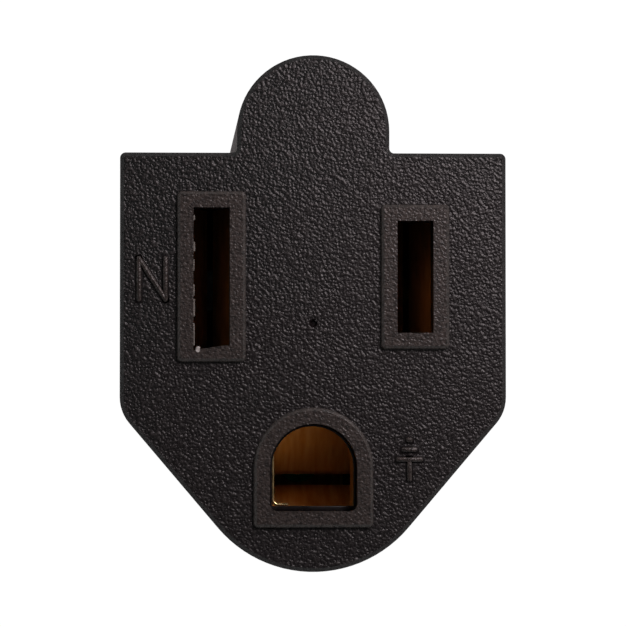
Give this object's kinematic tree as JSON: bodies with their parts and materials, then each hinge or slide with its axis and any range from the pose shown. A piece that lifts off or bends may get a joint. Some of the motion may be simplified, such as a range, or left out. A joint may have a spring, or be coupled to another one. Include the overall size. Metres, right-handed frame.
{
  "type": "grounding receptacle cord connector",
  "caption": "Hand-held rewireable female cord connector, with polarised blade slots and a grounding hole in a textured black face, and a cord clamp at the rear.",
  "frame": {"origin": "middle of the rear end that the connector stands on, on the axis of the cord", "axes": "+Z out of the face, the way a plug leaves; +Y towards the half-round lobe; the neutral slot is on the -X side"},
  "size_m": [0.0242, 0.0322, 0.0483],
  "materials": {
    "housing": "moulded with a spark-eroded grain, satin rims",
    "insulator": "plain moulded",
    "grommet": "moulded rubber",
    "contact_metal": "rolled strip, slightly tarnished",
    "plated_steel": "zinc plated",
    "brass_screw": "bright",
    "green_screw": "green dyed zinc plating"
  },
  "bodies": {
    "root": {"front_body": "housing", "rear_cap": "housing", "cord_saddle": "housing", "contact_retainer": "insulator", "cord_grommet": "grommet", "neutral_contact": "contact_metal", "line_contact": "contact_metal", "ground_contact": "contact_metal", "neutral_wire_clamp": "plated_steel", "line_wire_clamp": "plated_steel", "ground_wire_clamp": "plated_steel", "neutral_terminal_screw": "plated_steel", "line_terminal_screw": "brass_screw", "ground_terminal_screw": "green_screw", "assembly_screw": "plated_steel", "left_clamp_screw": "plated_steel", "right_clamp_screw": "plated_steel", "left_clamp_nut": "plated_steel", "right_clamp_nut": "plated_steel"}
  },
  "joints": []
}
